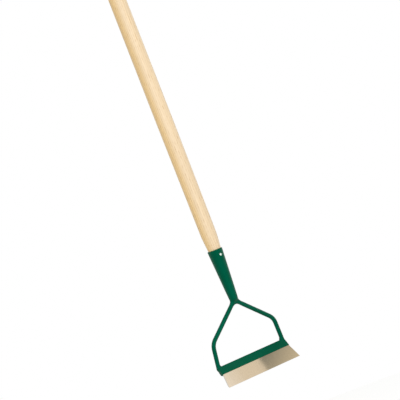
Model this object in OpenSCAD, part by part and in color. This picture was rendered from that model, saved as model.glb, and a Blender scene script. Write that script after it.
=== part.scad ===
// Dutch hoe: an ash shaft riveted into a tapered socket, two bent arms that drop
// from the socket to a thick bar, and a bare steel blade along the bar's lower edge.
// Z is the shaft's axis, X runs along the blade, and the blade leans towards -Y.
// The origin is on the shaft's axis, where a rack clip would hold it.

/* [Shaft] */
// Full diameter of the shaft
shaft_d = 28.4; // [27.5:0.1:32]
// Whole length of the shaft, with the nose inside the socket
shaft_l = 1524; // [1200:1:1800]
// Height above the socket's mouth at which the shaft reaches its full diameter
taper_l = 220; // [120:1:280]
// Diameter at the top of the shoulder
shoulder_d = 26.8; // [25:0.1:28]
// Height of the shoulder above the socket's mouth
shoulder_l = 30; // [20:1:60]
// Length of the nose inside the socket
nose_l = 62; // [40:1:70]
// Height of the domed upper end
dome_h = 11; // [6:0.5:14]
// Height of the rack clip above the socket's mouth
clip_rise = 300; // [290:1:600]

/* [Socket] */
// Length of the socket
socket_l = 92; // [80:1:110]
// Outside diameter of the socket at its mouth
mouth_d = 25.9; // [24:0.1:27]
// Outside diameter of the socket's solid lower end
neck_d = 14.6; // [13:0.1:16]
// Thickness of the socket's wall
socket_wall = 1.85; // [1.2:0.05:2.5]
// Gap between the shaft's nose and the socket's wall
socket_fit = 0.15; // [0.05:0.05:0.3]
// Empty depth between the shaft's nose and the end of the bore
nose_gap = 2; // [1:0.5:6]

/* [Rivet] */
// Diameter of the rivet's shank
rivet_d = 3.2; // [2.5:0.1:4]
// Diameter of the rivet's heads
rivet_head_d = 4.4; // [4.2:0.1:7]
// Height of the rivet's heads
rivet_head_h = 1.1; // [0.8:0.1:2]
// Distance of the rivet below the socket's mouth
rivet_drop = 10; // [6:0.5:20]
// Gap around the rivet's shank
rivet_fit = 0.1; // [0.05:0.05:0.3]

/* [Arms] */
// Diameter of the arm's rod
arm_d = 7.3; // [6:0.1:7.4]
// Height above the socket's lower end at which the two rods' axes cross
fork_rise = 3; // [2:0.5:5]
// Distance between the two knees
knee_spread = 130.4; // [110:0.2:150]
// Drop from the fork to the knees
knee_drop = 54; // [45:0.5:70]
// Distance of the knees behind the shaft's axis
knee_back = 8; // [0:0.5:14]
// Radius of the knee's bend, at the rod's axis
knee_r = 22; // [12:0.5:40]
// How much the rod swells in diameter where it is bent
knee_swell = 0.1; // [0.05:0.01:0.4]
// Distance between the two feet
foot_spread = 137.8; // [120:0.2:160]
// Drop from the knees to the bar
foot_drop = 40.1; // [30:0.2:60]
// Distance of the feet behind the shaft's axis
foot_back = 12.5; // [4:0.5:20]

/* [Cross bar] */
// Height of the bar's flat face
bar_h = 14.7; // [10:0.1:20]
// Thickness of the bar
bar_t = 7.5; // [7:0.1:9]
// Distance of the bar's upper corners beyond the feet
bar_end = 2.6; // [1:0.1:4]
// How much wider the bar is at each lower corner than at the upper one
bar_flare = 0.2; // [0:0.1:2]
// Forward lean of the bar and the blade
bar_tilt = 27; // [10:0.5:45]

/* [Blade] */
// Length of the cutting edge
blade_w = 152; // [130:0.5:200]
// Length of the blade where it meets the bar
blade_root_w = 141.6; // [120:0.2:144]
// Depth of the blade from the bar to the cutting edge
blade_l = 25.5; // [15:0.1:40]
// Thickness of the blade at the bar
blade_t = 2.5; // [1.5:0.1:3]
// Thickness left at the cutting edge
edge_t = 0.5; // [0.2:0.1:1]
// Depth of the bevel ground into the back along the cutting edge
bevel_l = 5; // [2:0.5:10]
// Step from the bar's front face back to the blade's face
blade_step = 0.4; // [0:0.1:1]

/* [Welds] */
// Thickness of the weld metal in the fork
weld_t = 5.2; // [4:0.1:5.8]
// Height of a weld's toe above the metal beside it
weld_toe = 0.4; // [0.2:0.1:0.8]
// Radius of the crotch between the two arms
crotch_r = 9; // [5:0.5:20]
// Radius of the corner between the socket and each arm
shoulder_r = 9; // [4:0.5:16]
// How far the weld at each foot spreads along the bar
foot_leg = 2.4; // [1.5:0.1:6]
// How far the weld at each foot climbs the arm
foot_rise = 3.4; // [2:0.1:8]
// Leg of the weld under the blade
sole_leg = 3.6; // [2:0.1:4]
// Distance of the weld's ends from the blade's corners
sole_inset = 4; // [2:0.5:20]

/* [Hidden] */
$fn = 64;
ash = "#ecd3a5";
green = "#005f44";
ground_steel = "#cbbb9e";
bright_steel = "#d8dcd8";

// Heights, from the rack clip at zero down to the bar
mouth_z = -clip_rise;
neck_z = mouth_z - socket_l;
fork_z = neck_z + fork_rise;
knee_z = fork_z - knee_drop;
foot_z = knee_z - foot_drop;
top_z = mouth_z + shaft_l - nose_l;
rivet_z = mouth_z - rivet_drop;

// A block that reaches past everything in the head, for planes that cut
reach = 2 * (blade_w + socket_l + knee_drop + foot_drop);

// The socket's cone and the shaft's nose inside it
arm_r = arm_d / 2;
mouth_r = mouth_d / 2;
neck_r = neck_d / 2;
socket_slope = (mouth_r - neck_r) / socket_l;
bore_z = mouth_z - nose_l - nose_gap;
function socket_r(z) = neck_r + (z - neck_z) * socket_slope;
function bore_r(z) = socket_r(z) - socket_wall;
function nose_r(z) = bore_r(z) - socket_fit;

// The shoulder swells out of the nose and eases into the long taper above it
shoulder_steps = 10;
shoulder_ease = 1.4;
shoulder_gain = shoulder_d / 2 - nose_r(mouth_z);
shoulder_points = [
    for (i = [0 : shoulder_steps])
        [
            shoulder_d / 2 - shoulder_gain * pow(1 - i / shoulder_steps, shoulder_ease),
            mouth_z + shoulder_l * i / shoulder_steps
        ]
];
dome_steps = 10;
dome_points = [
    for (i = [0 : dome_steps - 1])
        [
            shaft_d / 2 * cos(90 * i / dome_steps),
            top_z - dome_h + dome_h * sin(90 * i / dome_steps)
        ]
];
shaft_points = concat(
    [[0, mouth_z - nose_l], [nose_r(mouth_z - nose_l), mouth_z - nose_l]],
    shoulder_points,
    [[shaft_d / 2, mouth_z + taper_l]],
    dome_points,
    [[0, top_z]]
);

// The right arm's axis: fork, knee and foot, with a round bend at the knee
fork_point = [0, 0, fork_z];
knee_point = [knee_spread / 2, knee_back, knee_z];
foot_point = [foot_spread / 2, foot_back, foot_z];
function unit(v) = v / norm(v);
upper_dir = unit(knee_point - fork_point);
lower_dir = unit(foot_point - knee_point);
knee_angle = acos(upper_dir * lower_dir);
knee_in = unit(lower_dir - (upper_dir * lower_dir) * upper_dir);
knee_side = cross(-knee_in, upper_dir);
knee_cut = knee_r * tan(knee_angle / 2);
bend_start = knee_point - knee_cut * upper_dir;
bend_end = knee_point + knee_cut * lower_dir;
bend_centre = bend_start + knee_r * knee_in;
knee_lap = sqrt(knee_r * knee_swell) / 2;

// The plane of the two upper arms, where the fork's welds are drawn
arm_tilt = atan2(knee_back, knee_drop);
arm_fall = atan2(norm([knee_back, knee_drop]), knee_spread / 2);
arm_along = [cos(arm_fall), -sin(arm_fall)];
arm_up = [sin(arm_fall), cos(arm_fall)];

// Crotch: a circle under the fork that clears both rods by the weld's toe
crotch_gap = arm_r + weld_toe + crotch_r;
crotch_depth = crotch_gap / cos(arm_fall);
crotch_foot = crotch_depth * sin(arm_fall) * arm_along;

// Shoulder: a circle beside the socket that clears the socket and the rod by the toe
side_out = unit([1, -socket_slope]);
shoulder_gap = arm_r + weld_toe + shoulder_r;
side_gap = [neck_r, -fork_rise] * side_out + weld_toe + shoulder_r;
shoulder_det = arm_up[0] * side_out[1] - arm_up[1] * side_out[0];
shoulder_centre = [
    (shoulder_gap * side_out[1] - arm_up[1] * side_gap) / shoulder_det,
    (arm_up[0] * side_gap - shoulder_gap * side_out[0]) / shoulder_det
];
shoulder_on_arm = shoulder_centre - shoulder_gap * arm_up;
shoulder_on_socket = shoulder_centre - side_gap * side_out;

// Foot: a cone around the rod's lower end, kept where it lies over the bar's top face
bar_up = [0, sin(bar_tilt), cos(bar_tilt)];
foot_bend = acos(-lower_dir * bar_up);
foot_dip = (arm_r + foot_leg) * tan(foot_bend);
foot_slope = (foot_leg - weld_toe) / foot_rise;

// The blade's faces in the bar's own frame, where +Y points out of its back
bar_top_w = foot_spread + 2 * bar_end;
bar_low_w = bar_top_w + 2 * bar_flare;
blade_front = blade_step - bar_t / 2;
blade_back = blade_front + blade_t;
edge_z = -bar_h - blade_l;

// A frame with Z along one direction and X along another
module along(origin, x_dir, z_dir) {
    y_dir = cross(z_dir, x_dir);
    multmatrix([
        [x_dir[0], y_dir[0], z_dir[0], origin[0]],
        [x_dir[1], y_dir[1], z_dir[1], origin[1]],
        [x_dir[2], y_dir[2], z_dir[2], origin[2]],
        [0, 0, 0, 1]
    ])
        children();
}

// The bar's own frame: its top edge at zero, the blade below it
module bar_frame() {
    translate([0, foot_back, foot_z])
        rotate([-bar_tilt, 0, 0])
            children();
}

// Everything above the bar's top face
module above_bar() {
    bar_frame()
        translate([-reach / 2, -reach / 2, 0])
            cube(reach);
}

// Everything right of the middle and below the socket's lower end
module below_socket() {
    translate([0, -reach / 2, neck_z - reach])
        cube(reach);
}

// A slab of weld metal drawn in the plane of the two upper arms
module fork_slab() {
    translate(fork_point)
        rotate([90 + arm_tilt, 0, 0])
            linear_extrude(weld_t, center = true)
                children();
}

module rivet_hole() {
    translate([0, 0, rivet_z])
        rotate([90, 0, 0])
            cylinder(h = 2 * mouth_d, d = rivet_d + 2 * rivet_fit, center = true);
}

// The socket's outside, with no bore
module socket_blank() {
    rotate_extrude()
        polygon([[0, neck_z], [neck_r, neck_z], [mouth_r, mouth_z], [0, mouth_z]]);
}

module shaft() {
    color(ash)
        difference() {
            rotate_extrude()
                polygon(shaft_points);
            rivet_hole();
        }
}

module socket() {
    color(green)
        difference() {
            rotate_extrude()
                polygon([
                    [0, neck_z],
                    [neck_r, neck_z],
                    [mouth_r, mouth_z],
                    [bore_r(mouth_z), mouth_z],
                    [bore_r(bore_z), bore_z],
                    [0, bore_z]
                ]);
            rivet_hole();
        }
}

// A shank through socket and shaft, with a low domed head on either side
module socket_rivet() {
    seat_r = socket_r(rivet_z);
    dome_r = (pow(rivet_head_h, 2) + pow(rivet_head_d / 2, 2)) / (2 * rivet_head_h);
    color(bright_steel)
        union() {
            translate([0, 0, rivet_z])
                rotate([90, 0, 0])
                    cylinder(h = 2 * seat_r, d = rivet_d, center = true);
            difference() {
                for (side = [-1, 1])
                    translate([0, side * (seat_r + rivet_head_h - dome_r), rivet_z])
                        sphere(dome_r);
                socket_blank();
            }
        }
}

// The right arm's rod, running past the socket's end and the bar's top face.
// The straights end just inside the bend, which is a little thicker.
module arm_rod() {
    union() {
        along(fork_point - arm_d * upper_dir, -knee_in, upper_dir)
            cylinder(h = norm(bend_start - fork_point) + arm_d + knee_lap, d = arm_d);
        along(bend_centre, -knee_in, knee_side)
            rotate_extrude(angle = knee_angle)
                translate([knee_r, 0])
                    circle(d = arm_d + knee_swell);
        along(bend_end - knee_lap * lower_dir, knee_side, lower_dir)
            cylinder(h = norm(foot_point - bend_end) + arm_d + knee_lap, d = arm_d);
    }
}

module right_arm() {
    color(green)
        intersection() {
            arm_rod();
            above_bar();
            below_socket();
        }
}

module left_arm() {
    mirror([1, 0, 0])
        right_arm();
}

module cross_bar() {
    color(green)
        bar_frame()
            rotate([90, 0, 0])
                linear_extrude(bar_t, center = true)
                    polygon([
                        [-bar_top_w / 2, 0],
                        [bar_top_w / 2, 0],
                        [bar_low_w / 2, -bar_h],
                        [-bar_low_w / 2, -bar_h]
                    ]);
}

// The blade's flared outline, cut to its side view with the ground bevel behind
module blade() {
    color(ground_steel)
        bar_frame()
            intersection() {
                rotate([90, 0, 0])
                    linear_extrude(2 * bar_t, center = true)
                        polygon([
                            [-blade_root_w / 2, -bar_h],
                            [blade_root_w / 2, -bar_h],
                            [blade_w / 2, edge_z],
                            [-blade_w / 2, edge_z]
                        ]);
                rotate([90, 0, 90])
                    linear_extrude(2 * blade_w, center = true)
                        polygon([
                            [blade_front, -bar_h],
                            [blade_back, -bar_h],
                            [blade_back, edge_z + bevel_l],
                            [blade_front + edge_t, edge_z],
                            [blade_front, edge_z]
                        ]);
            }
}

module crotch_weld() {
    color(green)
        difference() {
            fork_slab()
                difference() {
                    polygon([
                        [0, 0],
                        crotch_foot,
                        [0, -crotch_depth],
                        [-crotch_foot[0], crotch_foot[1]]
                    ]);
                    translate([0, -crotch_depth])
                        circle(crotch_r);
                }
            left_arm();
            right_arm();
            socket_blank();
        }
}

module right_shoulder_weld() {
    color(green)
        difference() {
            fork_slab()
                difference() {
                    polygon([[0, 0], shoulder_on_arm, shoulder_centre, shoulder_on_socket]);
                    translate(shoulder_centre)
                        circle(shoulder_r);
                }
            right_arm();
            socket_blank();
        }
}

module left_shoulder_weld() {
    mirror([1, 0, 0])
        right_shoulder_weld();
}

// A bead on the inner side of the arm's foot, no thicker than the bar
module right_foot_weld() {
    color(green)
        difference() {
            intersection() {
                along(foot_point - foot_rise * lower_dir, knee_side, lower_dir)
                    cylinder(
                        h = foot_rise + foot_dip,
                        r1 = arm_r + weld_toe,
                        r2 = arm_r + weld_toe + foot_slope * (foot_rise + foot_dip)
                    );
                bar_frame()
                    translate([foot_spread / 2 - arm_r / 2 - reach, -bar_t / 2, 0])
                        cube([reach, bar_t, reach]);
            }
            arm_rod();
        }
}

module left_foot_weld() {
    mirror([1, 0, 0])
        right_foot_weld();
}

// A hollow-faced bead in the corner of the bar's lower face and the blade's back
module blade_weld() {
    color(green)
        bar_frame()
            rotate([90, 0, 90])
                linear_extrude(blade_root_w - 2 * sole_inset, center = true)
                    translate([blade_back, -bar_h])
                        difference() {
                            translate([0, -sole_leg])
                                square(sole_leg);
                            translate([sole_leg, -sole_leg])
                                circle(sole_leg - weld_toe);
                        }
}

shaft();
socket();
socket_rivet();
left_arm();
right_arm();
cross_bar();
blade();
crotch_weld();
left_shoulder_weld();
right_shoulder_weld();
left_foot_weld();
right_foot_weld();
blade_weld();
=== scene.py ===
# %% [markdown]
# # A Dutch hoe, dressed in Blender
# A Dutch hoe is pushed, not pulled: a thin blade slides just under the soil and cuts weeds
# off at the root. This lesson takes the hoe's plain solids as a fixed frame and builds the
# pieces that the eye sees around them: a lacquered ash shaft, a green enamelled head with
# smooth joints, and a blade of bare ground steel. Places come from the frame and from real
# sizes in millimetres, so nothing has to be fitted afterwards.

# %% Load the frame
import math

import bmesh
import bpy
from mathutils import Matrix, Vector


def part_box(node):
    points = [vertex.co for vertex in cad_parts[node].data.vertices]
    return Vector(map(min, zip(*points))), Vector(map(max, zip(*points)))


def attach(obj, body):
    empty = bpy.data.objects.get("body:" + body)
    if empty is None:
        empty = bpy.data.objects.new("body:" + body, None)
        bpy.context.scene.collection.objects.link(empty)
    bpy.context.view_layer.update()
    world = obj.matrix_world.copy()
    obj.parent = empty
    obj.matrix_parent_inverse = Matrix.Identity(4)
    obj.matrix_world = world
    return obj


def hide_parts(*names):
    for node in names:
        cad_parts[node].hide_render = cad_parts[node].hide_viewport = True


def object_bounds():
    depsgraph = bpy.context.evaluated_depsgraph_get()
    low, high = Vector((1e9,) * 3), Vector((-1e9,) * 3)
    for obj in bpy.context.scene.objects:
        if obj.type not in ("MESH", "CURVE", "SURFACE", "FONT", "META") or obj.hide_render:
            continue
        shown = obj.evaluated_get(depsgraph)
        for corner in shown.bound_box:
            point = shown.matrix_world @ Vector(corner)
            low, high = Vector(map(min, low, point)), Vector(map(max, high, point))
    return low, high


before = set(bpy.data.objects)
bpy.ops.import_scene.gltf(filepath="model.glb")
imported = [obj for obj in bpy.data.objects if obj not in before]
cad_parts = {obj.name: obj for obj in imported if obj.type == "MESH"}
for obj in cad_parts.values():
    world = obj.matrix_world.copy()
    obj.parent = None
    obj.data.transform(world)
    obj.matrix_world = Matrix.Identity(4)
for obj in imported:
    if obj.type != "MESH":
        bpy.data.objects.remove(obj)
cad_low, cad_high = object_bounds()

MM = 0.001
scene = bpy.context.scene
print("solids:", ", ".join(sorted(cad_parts)))
print("whole hoe, mm:", [round(side / MM, 1) for side in cad_high - cad_low])

# %% [markdown]
# ## The camera
# The photo was taken from in front of the hoe, about 33 degrees to its left and about level with
# the head, and the picture is turned by about 21 degrees, so the shaft leans. A long lens makes
# the view nearly parallel. The camera could be aimed by a constraint, but its place is easier to
# reason about when it is worked out: the middle of the socket's mouth has to land on one known
# pixel, and the distance and lens follow from the shaft's width in the picture.

# %% Aim the camera at the socket's mouth
FRAME_PX = 400
AZIMUTH = math.radians(-32.84)
ELEVATION = math.radians(0.374)
ROLL = math.radians(-21.279)
DISTANCE = 3.7087
FOCAL_PX = 2240.05
MOUTH_PX = Vector((214.62, 249.85))
FAR_CLIP = 50

socket_low, socket_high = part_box("socket")
mouth_z = socket_high.z
neck_z = socket_low.z
mouth_centre = Vector((0, 0, mouth_z))

to_camera = Vector((math.sin(AZIMUTH) * math.cos(ELEVATION),
                    -math.cos(AZIMUTH) * math.cos(ELEVATION),
                    math.sin(ELEVATION)))
level_right = Vector((math.cos(AZIMUTH), math.sin(AZIMUTH), 0))
level_up = to_camera.cross(level_right)
picture_right = math.cos(ROLL) * level_right + math.sin(ROLL) * level_up
picture_up = math.cos(ROLL) * level_up - math.sin(ROLL) * level_right
from_middle = (MOUTH_PX - Vector((FRAME_PX, FRAME_PX)) / 2) * DISTANCE / FOCAL_PX

camera = bpy.data.objects.new("camera", bpy.data.cameras.new("camera"))
camera.data.lens = camera.data.sensor_width * FOCAL_PX / FRAME_PX
camera.data.clip_end = FAR_CLIP
axes = Matrix((picture_right, picture_up, to_camera)).transposed().to_4x4()
axes.translation = (mouth_centre + to_camera * DISTANCE
                    - picture_right * from_middle.x + picture_up * from_middle.y)
camera.matrix_world = axes
scene.collection.objects.link(camera)
scene.camera = camera
print("camera at, m:", [round(c, 3) for c in axes.translation], "lens, mm:", round(camera.data.lens, 1))

# %% [markdown]
# ## Colours and nodes
# Colours are written as the hex values that a picture editor shows. Those are sRGB numbers, and
# a shader works with linear light, so one function converts them. Materials could be wired by
# hand in the node editor, but in code each one reads as a list of what it is made of: one small
# function adds a shader node, sets its options and fills its inputs with values or links. Map
# Range takes its ranges as pairs of inputs, and a last helper writes such a pair.

# %% Helpers for materials
MIX_A = 6                   # a Mix node has inputs for every kind of data: these two are colours,
MIX_B = 7
MIXED = 2                   # and so is this output


def linear(code, level=1.0):
    """An sRGB hex colour as linear light, times a level, with an alpha of 1."""
    shares = [int(code[i:i + 2], 16) / 255 for i in (1, 3, 5)]
    light = [c / 12.92 if c <= 0.04045 else ((c + 0.055) / 1.055) ** 2.4 for c in shares]
    return [level * c for c in light] + [1]


def fill(tree, node, inputs):
    """Sets a node's inputs to values, or links them to other nodes' outputs."""
    for name, value in inputs.items():
        if isinstance(value, bpy.types.NodeSocket):
            tree.links.new(value, node.inputs[name])
        else:
            node.inputs[name].default_value = value


def add(tree, kind, inputs=None, **options):
    """Adds a shader node, sets its options and fills its inputs."""
    node = tree.nodes.new("ShaderNode" + kind)
    for name, value in options.items():
        setattr(node, name, value)
    fill(tree, node, inputs or {})
    return node


def new_material(name):
    """A new material and its node tree."""
    made = bpy.data.materials.new(name)
    made.use_nodes = True
    return made, made.node_tree


def span(low, high, side="From"):
    """Two inputs of Map Range: the ends of the range that it reads from, or maps to."""
    return {side + " Min": low, side + " Max": high}


print("mid grey is", round(linear("#808080")[0], 3), "in linear light")

# %% [markdown]
# ## The studio
# The hoe was shown on pure white, under broad and even light from near the camera. A white room
# could be built as a box, but a white world does the same with less: it lights the hoe at a
# plain level, and it looks full white to the camera and to anything that mirrors it. The floor
# is a pale disc below the blade, since the hoe hangs by its shaft. It glows a little where it is
# looked at, so that it turns white too, and it keeps the hoe's soft shadow.

# %% The white world
AMBIENT = 0.58
WHITE = linear("#ffffff")


def looked_at(tree):
    """1 for rays that look at a surface straight, in a mirror or through glass, and 0 for the rest."""
    rays = add(tree, "LightPath").outputs
    direct = add(tree, "Math", {0: rays["Is Camera Ray"], 1: rays["Is Glossy Ray"]}, operation="MAXIMUM")
    either = add(tree, "Math", {0: direct.outputs[0], 1: rays["Is Transmission Ray"]}, operation="MAXIMUM")
    return either.outputs[0]


scene.view_settings.view_transform = "Standard"
world = bpy.data.worlds.new("white_studio")
world.use_nodes = True
scene.world = world
tree = world.node_tree
strength = add(tree, "MapRange", {"Value": looked_at(tree), "To Min": AMBIENT}).outputs[0]
fill(tree, tree.nodes["Background"], {"Color": WHITE, "Strength": strength})
print("the world lights the hoe at", AMBIENT, "and looks white")

# %% The pale floor
FLOOR_GLOW = 0.4
FLOOR_DROP = 290 * MM
FLOOR_R = 1.9
FLOOR_SIDES = 128

bm = bmesh.new()
bmesh.ops.create_circle(bm, cap_ends=True, radius=FLOOR_R, segments=FLOOR_SIDES,
                        matrix=Matrix.Translation((0, 0, cad_low.z - FLOOR_DROP)))
floor = bpy.data.objects.new("floor", bpy.data.meshes.new("floor"))
bm.to_mesh(floor.data)
bm.free()
scene.collection.objects.link(floor)

paper, tree = new_material("white_paper")
tree.nodes.remove(tree.nodes["Principled BSDF"])
matt = add(tree, "BsdfDiffuse", {"Color": linear("#f2f2f0")})
glow = add(tree, "Math", {0: looked_at(tree), 1: FLOOR_GLOW}, operation="MULTIPLY")
lift = add(tree, "Emission", {"Color": WHITE, "Strength": glow.outputs[0]})
both = add(tree, "AddShader", {0: matt.outputs[0], 1: lift.outputs[0]})
fill(tree, tree.nodes["Material Output"], {"Surface": both.outputs[0]})
floor.data.materials.append(paper)
print("floor", round(FLOOR_DROP / MM), "mm below the blade,", FLOOR_R * 2, "m across")

# %% [markdown]
# ## The softbox
# One broad softbox stands above and to the right of the camera, far enough away to light the
# whole shaft evenly. A point lamp would draw a hard streak of gloss down the socket and throw
# hard shadows; a panel almost as wide as it is far away does neither. Its power follows from the
# level that it should give: a white surface that faces a lamp of power P at the distance d comes
# out at about P divided by the square of pi times d.

# %% Light the hoe
KEY_LEVEL = 0.555
KEY_DISTANCE = 4.5
KEY_SIZE = 4.2
KEY_TOWARDS = 0.8           # the shares of the lamp's direction: towards the camera,
KEY_RIGHT = 0.28            # to its right
KEY_UP = 0.3                # and above it
head_centre = Vector((0, 0, neck_z))
toward_key = (KEY_TOWARDS * to_camera + KEY_RIGHT * level_right + KEY_UP * level_up).normalized()

key = bpy.data.objects.new("softbox", bpy.data.lights.new("softbox", "AREA"))
key.data.size = KEY_SIZE
key.data.energy = KEY_LEVEL * (math.pi * KEY_DISTANCE) ** 2
key.location = head_centre + toward_key * KEY_DISTANCE
key.rotation_mode = "QUATERNION"
key.rotation_quaternion = toward_key.to_track_quat("Z", "Y")
key.visible_camera = False
scene.collection.objects.link(key)
print("softbox power, W:", round(key.data.energy, 1))

# %% [markdown]
# ## Where the head's pieces meet
# The head hangs on a few points: the fork, where the lines of both arms meet on the shaft's axis,
# the knee, where an arm bends, and the foot, where it reaches the bar. Bar and blade lean
# forwards as they go down, so they get a frame of their own, with X along the bar, Z up its face
# and its origin midway between the feet. They could be modelled upright and turned as objects,
# but patterns on object coordinates would turn with them, so their meshes are turned instead.

# %% The head's points and the bar's own frame
FORK_RISE = 3 * MM
KNEE_SPREAD = 130.4 * MM
KNEE_DROP = 54 * MM
KNEE_BACK = 8 * MM
FOOT_SPREAD = 137.8 * MM
FOOT_DROP = 40.1 * MM
FOOT_BACK = 12.5 * MM
BAR_TILT = math.radians(27)
BAR_H = 14.7 * MM
BAR_T = 7.5 * MM
BLADE_L = 25.5 * MM
BLADE_STEP = 0.4 * MM       # how far the blade's face lies behind the bar's

fork = Vector((0, 0, neck_z + FORK_RISE))
knee = Vector((KNEE_SPREAD / 2, KNEE_BACK, fork.z - KNEE_DROP))
foot = Vector((FOOT_SPREAD / 2, FOOT_BACK, knee.z - FOOT_DROP))
bar_frame = Matrix.Translation((0, foot.y, foot.z)) @ Matrix.Rotation(-BAR_TILT, 4, "X")
blade_normal = bar_frame.to_3x3() @ Vector((0, -1, 0))
blade_up = bar_frame.to_3x3() @ Vector((0, 0, 1))
print("the blade's face looks along", [round(c, 3) for c in blade_normal])

# %% [markdown]
# ## The card that the blade mirrors
# Bare steel shows what stands round it. The blade in the photo is parted into a bright field and
# a darker one, as if a two-tone card stood in its mirror direction. The tones could be painted
# on the steel, but then they would stay put when the hoe turns, which no reflection does. So a
# card, which studios call a flag, stands there, and its seam shows a little right of the blade's
# middle. One side is cream and pales towards white, the other is grey and warms to tan. The card
# shines brighter than paper, because steel gives back only a part of the light. Only mirror rays
# see it, so it casts no shade and stays out of the picture itself.

# %% Place the card
FLAG_DISTANCE = 70 * MM
FLAG_H = 120 * MM
FLAG_W = 240 * MM
FLAG_EDGE = 3.5 * MM
mirror_way = 2 * blade_normal.dot(to_camera) * blade_normal - to_camera
flag_along = (blade_up - mirror_way * blade_up.dot(mirror_way)).normalized()
flag_across = flag_along.cross(mirror_way)
edge_point = bar_frame @ Vector((FLAG_EDGE, -BAR_T / 2 + BLADE_STEP, -BAR_H - BLADE_L / 2))
flag_frame = Matrix((flag_across, flag_along, mirror_way)).transposed().to_4x4()
flag_frame.translation = edge_point + mirror_way * FLAG_DISTANCE
flag_frame = flag_frame @ Matrix.Diagonal((FLAG_W / FLAG_H, 1, 1, 1))

bm = bmesh.new()
bm.loops.layers.uv.new("across")
bmesh.ops.create_grid(bm, x_segments=1, y_segments=1, size=FLAG_H / 2, matrix=flag_frame, calc_uvs=True)
flag = bpy.data.objects.new("flag", bpy.data.meshes.new("flag"))
bm.to_mesh(flag.data)
bm.free()
scene.collection.objects.link(flag)
for sight in ("camera", "diffuse", "transmission", "shadow", "volume_scatter"):
    setattr(flag, "visible_" + sight, False)
print("the blade mirrors towards", [round(c, 3) for c in mirror_way])

# %% Paint the card
CARD_LEVEL = 1.2
PALE_LEVEL = 1.2                    # the palest end shines this much brighter still
CARD_MIDDLE = (0.5, 0.5, 0)
WARMING = (1.6, -1.2, 0)            # how fast grey warms to tan, across and along the card
PALING = span(-0.15, -0.34)         # where cream turns to white, in widths of the card from its seam
GREY = linear("#9c9788")
TAN = linear("#fdeac7")
CREAM = linear("#fdedd4")
PALE_CREAM = linear("#fff6ea", PALE_LEVEL)

card, tree = new_material("two_tone_card")
tree.nodes.remove(tree.nodes["Principled BSDF"])
spot = add(tree, "TexCoord").outputs["UV"]
from_seam = add(tree, "VectorMath", {0: spot, 1: CARD_MIDDLE}, operation="SUBTRACT").outputs[0]
warm = add(tree, "VectorMath", {0: from_seam, 1: WARMING}, operation="DOT_PRODUCT").outputs["Value"]
dark_field = add(tree, "Mix", {0: warm, MIX_A: GREY, MIX_B: TAN}, data_type="RGBA").outputs[MIXED]
beside = add(tree, "SeparateXYZ", {0: from_seam}).outputs["X"]
pale = add(tree, "MapRange", {"Value": beside, **PALING}).outputs[0]
bright_field = add(tree, "Mix", {0: pale, MIX_A: CREAM, MIX_B: PALE_CREAM}, data_type="RGBA").outputs[MIXED]
past_seam = add(tree, "Math", {0: beside, 1: 0}, operation="GREATER_THAN").outputs[0]
fields = add(tree, "Mix", {0: past_seam, MIX_A: bright_field, MIX_B: dark_field}, data_type="RGBA")
shine = add(tree, "Emission", {"Color": fields.outputs[MIXED], "Strength": CARD_LEVEL})
fill(tree, tree.nodes["Material Output"], {"Surface": shine.outputs[0]})
flag.data.materials.append(card)
print("card", round(FLAG_W / MM), "by", round(FLAG_H / MM), "mm, shining at", CARD_LEVEL)

# %% [markdown]
# ## A finished piece
# Every piece ends the same way. Its doubled points are merged, its faces are turned outwards, it
# gets its material, and it is told which body it rides on and which plain solid it stands for.
# Smooth shading lets a round surface look round, and edges past a given angle stay sharp. On a
# plate, the thin rounded edges would tint the broad faces beside them, so a plate also gets a
# Weighted Normal modifier, which lets the broad faces decide. The printed line compares the
# piece's box with the solid's, so one that strays shows at once.

# %% Make an object from a bmesh
MERGE = 0.001 * MM
SHARP = math.radians(50)


def parts_of(made, kind):
    """The vertices, edges or faces in an operator's result."""
    return [part for part in made if isinstance(part, kind)]


def piece(bm, name, material, slot, *nodes, flat=False):
    """Turns a bmesh into an object that rides on the hoe and stands for its plain solids."""
    bmesh.ops.remove_doubles(bm, verts=bm.verts, dist=MERGE)
    bmesh.ops.recalc_face_normals(bm, faces=bm.faces)
    mesh = bpy.data.meshes.new(name)
    bm.to_mesh(mesh)
    bm.free()
    mesh.shade_smooth()
    mesh.set_sharp_from_angle(angle=SHARP)
    mesh.materials.append(material)
    made = bpy.data.objects.new(name, mesh)
    scene.collection.objects.link(made)
    if flat:
        weigh = made.modifiers.new("flat_faces", "WEIGHTED_NORMAL")
        weigh.keep_sharp = True
    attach(made, "root")
    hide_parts(*nodes)
    triangles = sum(len(face.vertices) - 2 for face in mesh.polygons)
    lows, highs = zip(*(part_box(node) for node in nodes))
    points = [vert.co for vert in mesh.vertices]
    strays = [max(min(low[i] for low in lows) - min(point[i] for point in points),
                  max(point[i] for point in points) - max(high[i] for high in highs)) for i in range(3)]
    print(f"{name}: {triangles} triangles, beyond its solids by", [round(s / MM, 2) for s in strays], "mm")
    return made


print("edges over", round(math.degrees(SHARP)), "degrees stay sharp")
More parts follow.
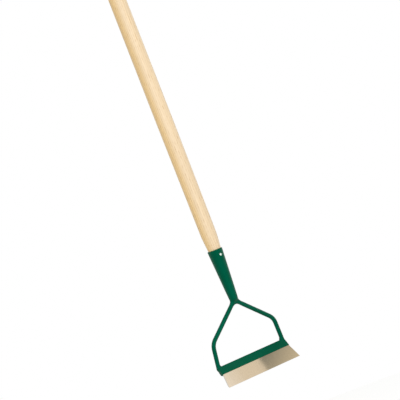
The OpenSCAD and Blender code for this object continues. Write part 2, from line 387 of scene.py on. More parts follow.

# %% [markdown]
# ## Lacquered ash
# The shaft is European ash, turned, sanded and given a thin clear lacquer. Ash is ring-porous:
# each year starts with a band of open pores that looks darker and streaky, then grows dense pale
# wood. The shaft was sawn some way from the pith, so its rings run through it as gentle curves
# and show as long arches on one side and as close lines on the next. The side towards the pith
# is painted a warmer yellow as painted shade, and the far side paler as a painted sheen of the
# lacquer. A picture texture would have a seam; rings worked out from the distance to the pith
# run through the whole shaft and come out right on its domed end as well. To the eye that gives
# pale, streaky wood with a soft sheen.

# %% Rings, pores and fibres
RING_W = 3.2 * MM
PITH = Vector((-0.84, 0.54, 0)) * 62 * MM   # the tree's middle, behind the shaft and to its left
RING_DRIFT = 7 * MM
DRIFT_SIZE = Vector((45, 45, 420)) * MM
PORE_SIZE = Vector((0.5, 0.5, 9)) * MM      # real pores are about 0.3 mm wide, too fine to show
FIBRE_SIZE = Vector((1.6, 1.6, 90)) * MM
TONE_SIZE = Vector((30, 30, 260)) * MM
EARLY_SPAN = span(0.08, 0.6)                # the part of a year in which early wood turns to late
PORE_SPAN = span(0.54, 0.68)


def per_metre(size):
    """How often a pattern of this size repeats in a metre, along each axis."""
    return [1 / side for side in size]


ash, tree = new_material("lacquered_ash")
place = add(tree, "TexCoord").outputs["Object"]
noises = {}
for name, size, detail in (("drift", DRIFT_SIZE, 1), ("pore", PORE_SIZE, 1),
                           ("fibre", FIBRE_SIZE, 3), ("tone", TONE_SIZE, 2)):
    scaled = add(tree, "Mapping", {"Vector": place, "Scale": per_metre(size)}).outputs[0]
    noises[name] = add(tree, "TexNoise", {"Vector": scaled, "Scale": 1, "Detail": detail}).outputs[0]

across = add(tree, "Mapping", {"Vector": place, "Location": -PITH, "Scale": (1, 1, 0)}).outputs[0]
from_pith = add(tree, "VectorMath", {0: across}, operation="LENGTH").outputs["Value"]
grown = add(tree, "Math", {0: noises["drift"], 1: RING_DRIFT, 2: from_pith}, operation="MULTIPLY_ADD")
years = add(tree, "Math", {0: grown.outputs[0], 1: RING_W}, operation="DIVIDE")
season = add(tree, "Math", {0: years.outputs[0]}, operation="FRACT").outputs[0]
early = add(tree, "MapRange", {"Value": season, **EARLY_SPAN, **span(1, 0, "To")},
            interpolation_type="SMOOTHSTEP").outputs[0]
pores = add(tree, "MapRange", {"Value": noises["pore"], **PORE_SPAN}).outputs[0]
open_pores = add(tree, "Math", {0: pores, 1: early}, operation="MULTIPLY").outputs[0]
print("ash: rings", RING_W / MM, "mm wide, pith", round(PITH.length / MM), "mm from the shaft's middle")

# %% The colours and sheen of ash
PAINTED_SHEEN_SPAN = span(52 * MM, 64 * MM)           # how far from the pith the painted shade turns to the painted sheen
NOISE_SPAN = span(0.3, 0.7)                 # most values of a noise lie here
FIBRE_TONE = span(0.95, 1.04, "To")
BROAD_TONE = span(0.97, 1.02, "To")
LACQUER_ROUGH = span(0.36, 0.6, "To")       # smooth lacquer, and the pores that it doesn't fill
PORE_RELIEF = {"Strength": 0.6, "Distance": 0.06 * MM}
# The pith's side is painted warmer as shade and the far side paler as the lacquer's sheen: painted light, not
# heart and sapwood
PAINTED_SHADE_LATE = linear("#f7d497")
PAINTED_SHEEN_LATE = linear("#f2d9b2")
PAINTED_SHADE_EARLY = linear("#f2cb8f")
PAINTED_SHEEN_EARLY = linear("#eed3ae")
PORE_BROWN = linear("#d2ab75")

# a mask that runs from 0 on the pith's side, the painted shade, to 1 on the far side, the painted sheen
painted_sheen_mask = add(tree, "MapRange", {"Value": from_pith, **PAINTED_SHEEN_SPAN}, interpolation_type="SMOOTHSTEP").outputs[0]
late_wood = add(tree, "Mix", {0: painted_sheen_mask, MIX_A: PAINTED_SHADE_LATE, MIX_B: PAINTED_SHEEN_LATE}, data_type="RGBA").outputs[MIXED]
early_wood = add(tree, "Mix", {0: painted_sheen_mask, MIX_A: PAINTED_SHADE_EARLY, MIX_B: PAINTED_SHEEN_EARLY}, data_type="RGBA").outputs[MIXED]
ringed = add(tree, "Mix", {0: early, MIX_A: late_wood, MIX_B: early_wood}, data_type="RGBA").outputs[MIXED]
streak = add(tree, "MapRange", {"Value": noises["fibre"], **NOISE_SPAN, **FIBRE_TONE}).outputs[0]
broad = add(tree, "MapRange", {"Value": noises["tone"], **NOISE_SPAN, **BROAD_TONE}).outputs[0]
shade = add(tree, "Math", {0: streak, 1: broad}, operation="MULTIPLY").outputs[0]
toned = add(tree, "VectorMath", {0: ringed, "Scale": shade}, operation="SCALE").outputs[0]
pored = add(tree, "Mix", {0: open_pores, MIX_A: toned, MIX_B: PORE_BROWN}, data_type="RGBA").outputs[MIXED]
gloss = add(tree, "MapRange", {"Value": open_pores, **LACQUER_ROUGH}).outputs[0]
sunk = add(tree, "Math", {0: open_pores, 1: -1, 2: noises["fibre"]}, operation="MULTIPLY_ADD").outputs[0]
relief = add(tree, "Bump", {"Height": sunk, **PORE_RELIEF}).outputs[0]
fill(tree, tree.nodes["Principled BSDF"], {"Base Color": pored, "Roughness": gloss, "Normal": relief,
                                           "IOR": 1.5, "Specular IOR Level": 0.5})
print("ash:", len(tree.nodes), "nodes")

# %% [markdown]
# ## The shaft
# On the real hoe the shaft is turned on a lathe: a slim nose goes into the socket, a shoulder
# swells out above the socket's rim, a long taper leads up to the full diameter, and the upper end
# is domed so that it is kind to the hand. A scaled cylinder has none of that. A lathe is what
# spin does, so half the outline is drawn once and spun about the shaft's axis. A smooth-shaded
# face takes its tilt from its corners, so beside the dome a face as long as the shaft would
# shade wrongly along its whole length. A ring set a little before the dome takes that up.

# %% Helpers for turned pieces
LATHE_STEPS = 72
SAME_HEIGHT = 0.05 * MM


def radii_at(node, z):
    """The smallest and largest distance from the shaft's axis of a solid's points at a height."""
    points = [v.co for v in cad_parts[node].data.vertices if abs(v.co.z - z) < SAME_HEIGHT]
    distances = [math.hypot(p.x, p.y) for p in points]
    return min(distances), max(distances)


def quarter_turn(steps):
    """Angles from 0 to 90 degrees, in equal steps."""
    return [math.pi / 2 * i / steps for i in range(steps + 1)]


def lathe(outline, steps=LATHE_STEPS):
    """Spins an outline of (radius, height) points about the Z axis."""
    bm = bmesh.new()
    verts = [bm.verts.new((radius, 0, z)) for radius, z in outline]
    edges = [bm.edges.new(pair) for pair in zip(verts, verts[1:])]
    bmesh.ops.spin(bm, geom=verts + edges, cent=(0, 0, 0), axis=(0, 0, 1), dvec=(0, 0, 0),
                   angle=2 * math.pi, steps=steps, use_merge=True)
    bmesh.ops.remove_doubles(bm, verts=bm.verts, dist=MERGE)
    return bm


shaft_low, shaft_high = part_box("shaft")
shaft_r = shaft_high.x
nose_r = radii_at("shaft", shaft_low.z)[1]
throat_r = radii_at("shaft", mouth_z)[1]
print("shaft's radius at nose, mouth and grip, mm:", [round(r / MM, 2) for r in (nose_r, throat_r, shaft_r)])

# %% Turn the shaft
SHOULDER_D = 26.8 * MM
SHOULDER_L = 30 * MM
SHOULDER_EASE = 1.4
TAPER_L = 220 * MM
DOME_H = 11 * MM
CURVE_STEPS = 16
RING_GAP = 0.2 * MM
crown_z = shaft_high.z - DOME_H
shoulder = [(SHOULDER_D / 2 - (SHOULDER_D / 2 - throat_r) * (1 - i / CURVE_STEPS) ** SHOULDER_EASE,
             mouth_z + SHOULDER_L * i / CURVE_STEPS) for i in range(CURVE_STEPS + 1)]
dome = [(shaft_r * math.cos(a), crown_z + DOME_H * math.sin(a)) for a in quarter_turn(CURVE_STEPS)]
outline = [(0, shaft_low.z), (nose_r, shaft_low.z)] + shoulder
outline += [(shaft_r, mouth_z + TAPER_L), (shaft_r, crown_z - RING_GAP)] + dome
piece(lathe(outline), "shaft_turned", ash, "ash", "shaft")

# %% [markdown]
# ## Green enamel
# The head was dipped or sprayed in a deep green enamel that dries to a soft sheen. Such paint is
# never quite even: it has a fine orange-peel skin, it gathers a little thicker in places, which
# shifts its colour, and dust leaves small nibs. A flat colour with low roughness would look like
# plastic, so the skin is a bump of about 2 mm and the sheen varies with a slower pattern. White
# gloss would lay a grey veil over so dark a green, and the photo has none, so the gloss is tinted
# green. To the eye that gives a full colour with a quiet shine.

# %% The green enamel material
PEEL = 2.2 * MM                             # real orange peel is about 1 mm, too fine to show
POOL = 26 * MM
NIB = 11 * MM
NIB_SPAN = span(0.02, 0.07)
ENAMEL_ROUGH = span(0.36, 0.48, "To")
PEEL_RELIEF = {"Strength": 0.6, "Distance": 0.06 * MM}
NIB_RELIEF = {"Strength": 0.5, "Distance": 0.12 * MM}
THIN_GREEN = linear("#004c36")
THICK_GREEN = linear("#00523d")

enamel, tree = new_material("green_enamel")
place = add(tree, "TexCoord").outputs["Object"]
peel = add(tree, "TexNoise", {"Vector": place, "Scale": 1 / PEEL, "Detail": 1}).outputs[0]
pool = add(tree, "TexNoise", {"Vector": place, "Scale": 1 / POOL, "Detail": 2}).outputs[0]
nibs = add(tree, "TexVoronoi", {"Vector": place, "Scale": 1 / NIB}).outputs["Distance"]
thick = add(tree, "MapRange", {"Value": pool, **NOISE_SPAN}).outputs[0]
green = add(tree, "Mix", {0: thick, MIX_A: THIN_GREEN, MIX_B: THICK_GREEN}, data_type="RGBA").outputs[MIXED]
sheen = add(tree, "MapRange", {"Value": pool, **NOISE_SPAN, **ENAMEL_ROUGH}).outputs[0]
nib = add(tree, "MapRange", {"Value": nibs, **NIB_SPAN, **span(1, 0, "To")}).outputs[0]
skin = add(tree, "Bump", {"Height": peel, **PEEL_RELIEF}).outputs[0]
bumpy = add(tree, "Bump", {"Height": nib, "Normal": skin, **NIB_RELIEF}).outputs[0]
fill(tree, tree.nodes["Principled BSDF"], {"Base Color": green, "Roughness": sheen, "Normal": bumpy,
                                           "IOR": 1.5, "Specular IOR Level": 0.3,
                                           "Specular Tint": linear("#20dca4")})
print("enamel: peel", PEEL / MM, "mm, pools", POOL / MM, "mm")

# %% [markdown]
# ## The socket
# The socket is a tapered steel tube, closed at its lower end. Its rim is thick enough to show a
# rounded edge where the paint wraps over. A cone with a Solidify modifier would come close, but
# the rim and the closed end need points of their own. So it is spun like the shaft, from an
# outline that goes up the outside, over the rim and down the bore. Its last stretch narrows
# inside the smooth joint that covers it, so that only one of the two skins shows, and the same
# short rings keep the long cone's shading true at both ends.

# %% Spin the socket
JOINT_TOP = 22 * MM
SOCKET_TIP_R = 2.4 * MM
RIM_EDGE = 0.4 * MM
RIM_STEPS = 4
bore_r, mouth_r = radii_at("socket", mouth_z)
neck_r = radii_at("socket", neck_z)[1]
bore_z = max(v.co.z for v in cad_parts["socket"].data.vertices if v.co.z < shaft_low.z)
bore_end_r = bore_r - (mouth_r - neck_r) * (mouth_z - bore_z) / (mouth_z - neck_z)
joint_z = neck_z + JOINT_TOP
rim_z = mouth_z - RIM_EDGE


def cone_r(z):
    """The socket's outer radius at a height."""
    return neck_r + (mouth_r - neck_r) * (z - neck_z) / (mouth_z - neck_z)


turns = quarter_turn(RIM_STEPS)
rim = [(mouth_r - RIM_EDGE + RIM_EDGE * math.cos(a), rim_z + RIM_EDGE * math.sin(a)) for a in turns]
rim += [(bore_r + RIM_EDGE - RIM_EDGE * math.sin(a), rim_z + RIM_EDGE * math.cos(a)) for a in turns]
outline = [(0, neck_z), (SOCKET_TIP_R, neck_z)]
outline += [(cone_r(z), z) for z in (joint_z, joint_z + RING_GAP, rim_z - RING_GAP)]
outline += rim + [(bore_end_r, bore_z), (0, bore_z)]
piece(lathe(outline), "socket_tapered", enamel, "green_paint", "socket")

# %% [markdown]
# ## The rivet
# One rivet goes through socket and shaft and is peened over on both sides. The head in the photo
# is bright, so the rivet is zinc-plated steel: pale, and a little rough from the hammer, which
# gives the eye a soft glint in place of a mirror. Half a sphere would make a head, but a peened
# head is flatter and has a low rim. So it is spun about Z like the other round pieces and then
# turned to lie front to back. Each head reaches into the socket's wall, so no gap shows round it.

# %% The rivet and its bright steel
RIVET_D = 3.2 * MM
HEAD_D = 4.4 * MM
HEAD_H = 1.1 * MM
HEAD_RIM = 0.25 * MM
RIVET_STEPS = 32
DENT = 1.1 * MM
ZINC_ROUGH = span(0.28, 0.5, "To")
DENT_RELIEF = {"Strength": 0.6, "Distance": 0.15 * MM}
DULL_ZINC = linear("#b0c4b8")
BRIGHT_ZINC = linear("#d3dfd7")

zinc, tree = new_material("zinc_plated_steel")
place = add(tree, "TexCoord").outputs["Object"]
dents = add(tree, "TexNoise", {"Vector": place, "Scale": 1 / DENT, "Detail": 2}).outputs[0]
bright = add(tree, "Mix", {0: dents, MIX_A: DULL_ZINC, MIX_B: BRIGHT_ZINC}, data_type="RGBA").outputs[MIXED]
rough = add(tree, "MapRange", {"Value": dents, **ZINC_ROUGH}).outputs[0]
hammered = add(tree, "Bump", {"Height": dents, **DENT_RELIEF}).outputs[0]
fill(tree, tree.nodes["Principled BSDF"], {"Base Color": bright, "Roughness": rough, "Normal": hammered,
                                           "Metallic": 1})

rivet_low, rivet_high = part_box("socket_rivet")
rivet_mid = (rivet_low + rivet_high) / 2
tip = (rivet_high.y - rivet_low.y) / 2
rim_top = tip - HEAD_H + HEAD_RIM
turns = quarter_turn(CURVE_STEPS)
cap = [(HEAD_D / 2 * math.cos(a), rim_top + (HEAD_H - HEAD_RIM) * math.sin(a)) for a in turns]
half = [(RIVET_D / 2, tip - 2 * HEAD_H), (HEAD_D / 2, tip - 2 * HEAD_H)] + cap
outline = [(radius, -z) for radius, z in reversed(half)] + half
bm = lathe(outline, steps=RIVET_STEPS)
lie_down = Matrix.Translation(rivet_mid) @ Matrix.Rotation(math.pi / 2, 4, "X")
bmesh.ops.transform(bm, verts=bm.verts, matrix=lie_down)
piece(bm, "rivet_peened", zinc, "rivet_steel", "socket_rivet")

# %% [markdown]
# ## The arms
# Each arm is one length of round rod, bent once at the knee. A curve with a round bevel would do,
# but a rod is also simple to draw the way it is bent: a circle is extruded down the upper
# straight, spun round the bend's centre through the knee's angle, and extruded again to the bar.
# At both ends it is drawn thinner inside the smooth joints, so that only the joint's skin shows,
# with the same short rings where that starts. The left arm is the same rod mirrored.

# %% Where the rod bends
ARM_R = 3.65 * MM
KNEE_R = 22 * MM
upper = (knee - fork).normalized()
lower = (foot - knee).normalized()
knee_angle = upper.angle(lower)
inward = (lower - lower.dot(upper) * upper).normalized()
bend_cut = KNEE_R * math.tan(knee_angle / 2)
bend_start = knee - bend_cut * upper
bend_centre = bend_start + KNEE_R * inward
bend_end = knee + bend_cut * lower
print("knee bends by", round(math.degrees(knee_angle), 1), "degrees")

# %% Helpers that extrude and scale a ring
def turned(along, origin):
    """A frame at a point with Z along a direction."""
    return Matrix.Translation(origin) @ along.to_track_quat("Z", "Y").to_matrix().to_4x4()


def extruded(bm, edges, step):
    """Extrudes a ring of edges by a step and gives the new ring's edges and vertices."""
    made = bmesh.ops.extrude_edge_only(bm, edges=edges)["geom"]
    verts = parts_of(made, bmesh.types.BMVert)
    bmesh.ops.translate(bm, verts=verts, vec=step)
    return [e for e in parts_of(made, bmesh.types.BMEdge) if all(v in verts for v in e.verts)], verts


def scaled_about(bm, verts, scale, point):
    """Scales vertices along X, Y and Z about a point."""
    bmesh.ops.scale(bm, verts=verts, vec=scale, space=Matrix.Translation(-point))


print("the upper arm's ring looks along", [round(c, 3) for c in turned(upper, fork).col[2].xyz])

# %% Bend the rods
ARM_SIDES = 40
KNEE_STEPS = 20
JOINT_ARM = 24 * MM
JOINT_FOOT = 10 * MM
TUCK = 1.2 * MM


def rod():
    """The right arm's rod, thinner inside the joints at its two ends."""
    bm = bmesh.new()
    thin_r = ARM_R - TUCK
    joint_end = fork + JOINT_ARM * upper
    foot_joint = foot - JOINT_FOOT * lower
    bmesh.ops.create_circle(bm, radius=thin_r, segments=ARM_SIDES, matrix=turned(upper, fork + ARM_R * upper))
    edges, verts = extruded(bm, bm.edges[:], (JOINT_ARM - ARM_R) * upper)
    scaled_about(bm, verts, Vector((1, 1, 1)) * ARM_R / thin_r, joint_end)
    edges, verts = extruded(bm, edges, RING_GAP * upper)
    edges, verts = extruded(bm, edges, bend_start - joint_end - RING_GAP * upper)
    bent = bmesh.ops.spin(bm, geom=edges + verts, cent=bend_centre, axis=upper.cross(inward),
                          dvec=(0, 0, 0), angle=knee_angle, steps=KNEE_STEPS)["geom_last"]
    edges = parts_of(bent, bmesh.types.BMEdge)
    edges, verts = extruded(bm, edges, foot_joint - RING_GAP * lower - bend_end)
    edges, verts = extruded(bm, edges, RING_GAP * lower)
    edges, verts = extruded(bm, edges, JOINT_FOOT * lower)
    scaled_about(bm, verts, Vector((1, 1, 1)) * thin_r / ARM_R, foot)
    bmesh.ops.holes_fill(bm, edges=bm.edges)
    return bm


piece(rod(), "right_rod", enamel, "green_paint", "right_arm")
bm = rod()
bmesh.ops.scale(bm, verts=bm.verts, vec=(-1, 1, 1))
piece(bm, "left_rod", enamel, "green_paint", "left_arm")

# %% [markdown]
# ## The bar
# The bar is a short length of thick flat steel with its edges broken and its lower corners ground
# off at the back. It could be a scaled cube, but its ends aren't quite square, so its outline is
# drawn with four corners. Extruding gives the thickness, a slanted cut takes off each back
# corner, and a bevel rounds every edge. At the top the bar is drawn in by a millimetre at each
# end, where the smooth corners of the arms close over it.

# %% Helpers for plates
def block(outline, push):
    """Joins an outline's points to a face and extrudes it by a push."""
    bm = bmesh.new()
    face = bm.faces.new([bm.verts.new(point) for point in outline])
    made = bmesh.ops.extrude_face_region(bm, geom=[face])["geom"]
    bmesh.ops.translate(bm, verts=parts_of(made, bmesh.types.BMVert), vec=push)
    return bm


def cut(bm, point, normal):
    """Cuts a bmesh with a plane, clears the side that the normal points to and closes the cut."""
    bmesh.ops.bisect_plane(bm, geom=bm.verts[:] + bm.edges[:] + bm.faces[:], plane_co=point, plane_no=normal,
                           clear_outer=True)
    bmesh.ops.holes_fill(bm, edges=[edge for edge in bm.edges if edge.is_boundary])


def break_and_tilt(bm, edge, steps):
    """Rounds all the edges of a block and sets it in the bar's frame."""
    bmesh.ops.recalc_face_normals(bm, faces=bm.faces)
    bmesh.ops.bevel(bm, geom=bm.edges[:], offset=edge, segments=steps, profile=0.5,
                    affect="EDGES", material=-1)
    bmesh.ops.transform(bm, verts=bm.verts, matrix=bar_frame)


bar_low_w = 2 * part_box("cross_bar")[1].x
print("the bar is", round(bar_low_w / MM, 1), "mm long at its lower edge")

# %% Cut the bar
BAR_TOP_W = 143 * MM
BAR_EDGE = 0.5 * MM
BAR_EDGE_STEPS = 4
BAR_HIDE = 1.0 * MM
CLIP_L = 4 * MM
CLIP_H = 2.4 * MM


def bar_blank(inset, top_w):
    """The bar with its edges rounded, in place, drawn in on all sides by an inset."""
    top_x = top_w / 2 - inset
    low_x = bar_low_w / 2 - inset
    front_y = inset - BAR_T / 2
    low_z = inset - BAR_H
    corners = [(-top_x, -inset), (top_x, -inset), (low_x, low_z), (-low_x, low_z)]
    bm = block([(x, front_y, z) for x, z in corners], (0, -2 * front_y, 0))
    for side in (-1, 1):
        cut(bm, (side * (low_x - CLIP_L), -front_y, low_z), (side / CLIP_L, 1 / CLIP_H, -1 / CLIP_H))
    break_and_tilt(bm, BAR_EDGE, BAR_EDGE_STEPS)
    return bm


piece(bar_blank(0, BAR_TOP_W - 2 * BAR_HIDE), "bar_thick", enamel, "green_paint", "cross_bar", flat=True)

# %% [markdown]
# ## Smooth joints
# Where rods, socket and bar meet, the weld was dressed and painted until one flows into the next,
# as the photo shows at the fork. Fillets between three round bodies are hard to draw edge by edge.
# It is easier to let the bodies overlap, add copies of the plain weld solids that fill the
# corners, melt everything into one skin with a voxel remesh, and ease the skin with smooth_vert,
# most in the middle of the joint and not at all where it meets the plain stretches.

# %% Melt bodies into one skin
VOXEL = 0.35 * MM
LAP = 4 * MM
EASE = 0.5
EASE_FADE = 0.6             # the share of its reach that the easing has lost by its last round
STICK_SIDES = 96


def melted(bm, centre, reach, rounds):
    """Merges and melts overlapping closed bodies into one skin, then eases it within reach of a centre."""
    bmesh.ops.remove_doubles(bm, verts=bm.verts, dist=MERGE)
    bmesh.ops.recalc_face_normals(bm, faces=bm.faces)
    mesh = bpy.data.meshes.new("bodies")
    bm.to_mesh(mesh)
    bodies = bpy.data.objects.new("bodies", mesh)
    scene.collection.objects.link(bodies)
    remesh = bodies.modifiers.new("melt", "REMESH")
    remesh.mode = "VOXEL"
    remesh.voxel_size = VOXEL
    skin = bpy.data.meshes.new_from_object(bodies.evaluated_get(bpy.context.evaluated_depsgraph_get()))
    bm.clear()
    bm.from_mesh(skin)
    for data in (mesh, skin):
        bpy.data.meshes.remove(data)
    for turn in range(rounds):
        near = reach * (1 - EASE_FADE * turn / rounds)
        verts = [v for v in bm.verts if (v.co - centre).length < near]
        bmesh.ops.smooth_vert(bm, verts=verts, factor=EASE, use_axis_x=True, use_axis_y=True, use_axis_z=True)


def stick(bm, start, end, radius, end_radius=None):
    """Adds a closed round rod or cone between two points."""
    axis = end - start
    bmesh.ops.create_cone(bm, cap_ends=True, segments=STICK_SIDES, radius1=radius,
                          radius2=end_radius or radius, depth=axis.length,
                          matrix=turned(axis.normalized(), (start + end) / 2))


def weld_copy(bm, node):
    """Adds a copy of a weld's plain solid, still in loose triangles, and gives its vertices."""
    known = set(bm.verts)
    bm.from_mesh(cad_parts[node].data)
    return [vert for vert in bm.verts if vert not in known]


print("skins are melted in voxels of", VOXEL / MM, "mm")

# %% [markdown]
# ## The fork
# Under the socket the two arms part, and no seam shows between the three. The socket's end is
# rounded to a dome here, so that the skin flows round it, and the arms' rods run up into it. The
# weld copies are moved inwards by about half a millimetre, because the skin has to end flush and
# not bulge. Three cuts then end the skin just where the plain socket and rods come out of it.

# %% The fork under the socket
NECK_DOME = 5 * MM
FORK_REACH = 19 * MM
FORK_ROUNDS = 110
WELD_SINK = {"crotch_weld": Vector((0, 0, 0.52)) * MM,
             "left_shoulder_weld": Vector((0.4, 0, -0.2)) * MM,
             "right_shoulder_weld": Vector((-0.4, 0, -0.2)) * MM}
dome_z = neck_z + NECK_DOME
lap_z = joint_z + LAP
turns = quarter_turn(CURVE_STEPS)
nose = [(cone_r(dome_z) * math.sin(a), dome_z - NECK_DOME * math.cos(a)) for a in turns]
bm = lathe(nose + [(cone_r(lap_z), lap_z), (0, lap_z)])
for node, sink in WELD_SINK.items():
    bmesh.ops.translate(bm, verts=weld_copy(bm, node), vec=sink)
arm_ways = [Vector((side * upper.x, upper.y, upper.z)) for side in (-1, 1)]
for way in arm_ways:
    stick(bm, fork, fork + way * (JOINT_ARM + LAP), ARM_R)
melted(bm, fork, FORK_REACH, FORK_ROUNDS)
cut(bm, (0, 0, joint_z), (0, 0, 1))
for way in arm_ways:
    cut(bm, fork + way * JOINT_ARM, way)
piece(bm, "fork_joint", enamel, "green_paint", *WELD_SINK)

# %% [markdown]
# ## The corners of the bar
# Each arm is welded to the end of the bar, and in the photo its outline runs smoothly into the
# bar's corner. The rod goes on a little past the bar's top and ends in a ball that laps behind
# it. A slim cone, the heel, leads it down into the bar's end, and the weld's copy, drawn taller,
# fills the inner corner. The bar's end is repeated just under the faces of the visible bar, so
# that those stay flat and crisp while the skin closes over the bar's top corner. Both corners
# come from the same points, with X turned round on the left.

# %% The corners where the arms meet the bar
FOOT_REACH = 9 * MM
FOOT_ROUNDS = 26
FOOT_FILL = (1, 1, 1.5)
FOOT_BAR = 17 * MM
SUNK = 0.12 * MM
HEEL_L = 9 * MM
HEEL_LAP = 0.5 * MM
HEEL_R = 2.2 * MM
TOE_L = 2.2 * MM
TOE_DIVISIONS = 5
toe = foot + TOE_L * lower
inner_corner = foot - ARM_R * Vector((1, 0, 0))
for side, name in ((-1, "left"), (1, "right")):
    mirrored = Vector((side, 1, 1))
    bm = bar_blank(SUNK, BAR_TOP_W)
    cut(bm, (side * (foot.x - FOOT_BAR), 0, 0), (-side, 0, 0))
    scaled_about(bm, weld_copy(bm, name + "_foot_weld"), FOOT_FILL, inner_corner * mirrored)
    stick(bm, (foot - (JOINT_FOOT + LAP) * lower) * mirrored, toe * mirrored, ARM_R)
    bmesh.ops.create_icosphere(bm, subdivisions=TOE_DIVISIONS, radius=ARM_R,
                               matrix=Matrix.Translation(toe * mirrored))
    stick(bm, (foot - HEEL_LAP * lower) * mirrored, (foot - HEEL_L * blade_up) * mirrored, ARM_R, HEEL_R)
    melted(bm, foot * mirrored, FOOT_REACH, FOOT_ROUNDS)
    cut(bm, (foot - JOINT_FOOT * lower) * mirrored, -lower * mirrored)
    piece(bm, name + "_foot_joint", enamel, "green_paint", name + "_foot_weld")

# %% [markdown]
# ## Ground steel
# The blade is plain carbon steel, ground on a belt that ran from the bar to the cutting edge. So
# it carries fine straight lines that way, and they smear what it mirrors along the blade. Bare
# steel is a metal: its colour is the colour of its reflection, here a warm grey. A picture of
# brushed metal would repeat, so the lines are a noise that is narrow along the blade and long
# across it, turned to the blade's own tilt by a Mapping node. To the eye that gives soft
# reflections with a fine grain.

# %% The ground steel material
GRIT = Vector((0.35, 30, 30)) * MM          # real grinding lines are about 0.1 mm apart, too fine to show
CLOUD = 22 * MM
STEEL_ROUGH = span(0.16, 0.2, "To")
LINE_RELIEF = {"Strength": 0.3, "Distance": 0.02 * MM}
DARK_LINE = linear("#c2bcb2")
BRIGHT_LINE = linear("#ccc6bc")

steel, tree = new_material("ground_steel")
place = add(tree, "TexCoord").outputs["Object"]
upright = add(tree, "Mapping", {"Vector": place, "Rotation": (BAR_TILT, 0, 0)}).outputs[0]
scaled = add(tree, "Mapping", {"Vector": upright, "Scale": per_metre(GRIT)}).outputs[0]
lines = add(tree, "TexNoise", {"Vector": scaled, "Scale": 1, "Detail": 2}).outputs[0]
cloud = add(tree, "TexNoise", {"Vector": place, "Scale": 1 / CLOUD, "Detail": 2}).outputs[0]
bright = add(tree, "MapRange", {"Value": lines, **NOISE_SPAN}).outputs[0]
ground = add(tree, "Mix", {0: bright, MIX_A: DARK_LINE, MIX_B: BRIGHT_LINE}, data_type="RGBA").outputs[MIXED]
rough = add(tree, "MapRange", {"Value": cloud, **NOISE_SPAN, **STEEL_ROUGH}).outputs[0]
scored = add(tree, "Bump", {"Height": lines, **LINE_RELIEF}).outputs[0]
fill(tree, tree.nodes["Principled BSDF"], {"Base Color": ground, "Roughness": rough, "Normal": scored,
                                           "Metallic": 1})
print("ground steel: lines", round(GRIT.x / MM, 2), "mm apart, drawn coarse")

# %% [markdown]
# ## The blade
# The blade is a flat plate that flares towards its cutting edge, which is ground to a bevel on
# the back, so that the front stays whole. A cube could be tapered to this, but the side view says
# more: five points give the thickness, the bevel and the edge. The side view is extruded along
# the blade, and two slanted cuts take the ends off, as a shear would. A very small bevel breaks
# the edges so that they catch the light, and weighted normals keep the faces flat beside it.

# %% Cut and grind the blade
BLADE_ROOT_W = 141.6 * MM
BLADE_T = 2.5 * MM
EDGE_T = 0.5 * MM
BEVEL_L = 5 * MM
BLADE_BREAK = 0.12 * MM
BLADE_BREAK_STEPS = 2
blade_w = 2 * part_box("blade")[1].x
face_y = BLADE_STEP - BAR_T / 2
back_y = face_y + BLADE_T
edge_z = -BAR_H - BLADE_L
side_view = [(face_y, -BAR_H), (back_y, -BAR_H), (back_y, edge_z + BEVEL_L),
             (face_y + EDGE_T, edge_z), (face_y, edge_z)]
bm = block([(-blade_w / 2, y, z) for y, z in side_view], (blade_w, 0, 0))
for side in (-1, 1):
    cut(bm, (side * BLADE_ROOT_W / 2, 0, -BAR_H), (side * BLADE_L, 0, (blade_w - BLADE_ROOT_W) / 2))
break_and_tilt(bm, BLADE_BREAK, BLADE_BREAK_STEPS)
blade = piece(bm, "blade_ground", steel, "ground_steel", "blade", flat=True)

# %% [markdown]
# ## Keep the softbox off the blade
# Seen from some sides the flat blade would mirror the lamp itself, clip to white and vanish
# against the background. In a studio the lamp or the hoe would be turned until it doesn't. Light
# linking does the same for every side at once: the blade is left out of the softbox's receivers,
# so it mirrors only the room and the card, while paint and wood keep their soft highlights.

# %% Leave the blade out of the softbox's light
unlit = bpy.data.collections.new("not_lit_by_softbox")
unlit.objects.link(blade)
unlit.collection_objects[0].light_linking.link_state = "EXCLUDE"
key.light_linking.receiver_collection = unlit

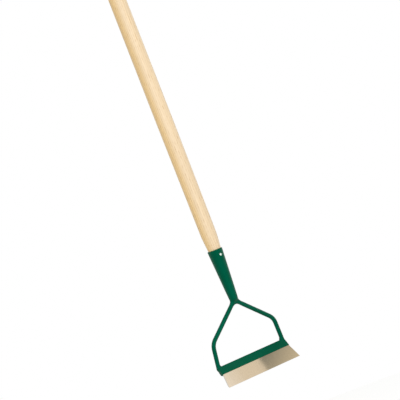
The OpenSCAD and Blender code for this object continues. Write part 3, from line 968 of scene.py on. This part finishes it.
# %% [markdown]
# ## The bead under the blade
# The blade is welded to the bar along its underside, which the photo doesn't show. A weld bead is
# a row of small pools that froze one over the next, so its hollow face is rippled and it starts
# and stops in a small taper. A bump in the paint could fake the ripples, but not their outline.
# So the bead's section is extruded along the bar in short steps, and each new ring is scaled
# about the corner of bar and blade, which draws the ripples and the two ends.

# %% The rippled bead
BEAD_LEG = 3.6 * MM
BEAD_TOE = 0.4 * MM
BEAD_INSET = 4 * MM
BEAD_STEP = 0.5 * MM
BEAD_STOP = 3 * MM
STOP_FULL = 0.5             # how full the bead is where it starts and stops
RIPPLE = 3 * MM
RIPPLE_DIP = 0.1
HOLLOW_STEPS = 6
bead_l = BLADE_ROOT_W - 2 * BEAD_INSET
bead_steps = round(bead_l / BEAD_STEP)
root = Vector((0, back_y, -BAR_H))
hollow = 1 - BEAD_TOE / BEAD_LEG
scoop = [(1 - hollow * math.sin(a), 1 - hollow * math.cos(a)) for a in quarter_turn(HOLLOW_STEPS)]
section = [(0, 0), (1, 0)] + scoop + [(0, 1)]


def bead_share(i):
    """How full the bead is after this many steps: rippled, and tapered at both ends."""
    from_end = min(i, bead_steps - i) * BEAD_STEP
    taper = STOP_FULL + (1 - STOP_FULL) * math.sin(math.pi / 2 * min(1, from_end / BEAD_STOP))
    ripple = math.sin(math.pi * i * BEAD_STEP / RIPPLE) ** 2
    return taper * (1 - RIPPLE_DIP * ripple)


bm = bmesh.new()
first = bead_share(0) * BEAD_LEG
verts = [bm.verts.new((-bead_l / 2, root.y + y * first, root.z - z * first)) for y, z in section]
edges = [bm.edges.new(pair) for pair in zip(verts, verts[1:] + verts[:1])]
for i in range(bead_steps):
    edges, verts = extruded(bm, edges, (bead_l / bead_steps, 0, 0))
    grow = bead_share(i + 1) / bead_share(i)
    scaled_about(bm, verts, (1, grow, grow), root)
bmesh.ops.holes_fill(bm, edges=[edge for edge in bm.edges if edge.is_boundary])
bmesh.ops.transform(bm, verts=bm.verts, matrix=bar_frame)
piece(bm, "blade_bead", enamel, "green_paint", "blade_weld")
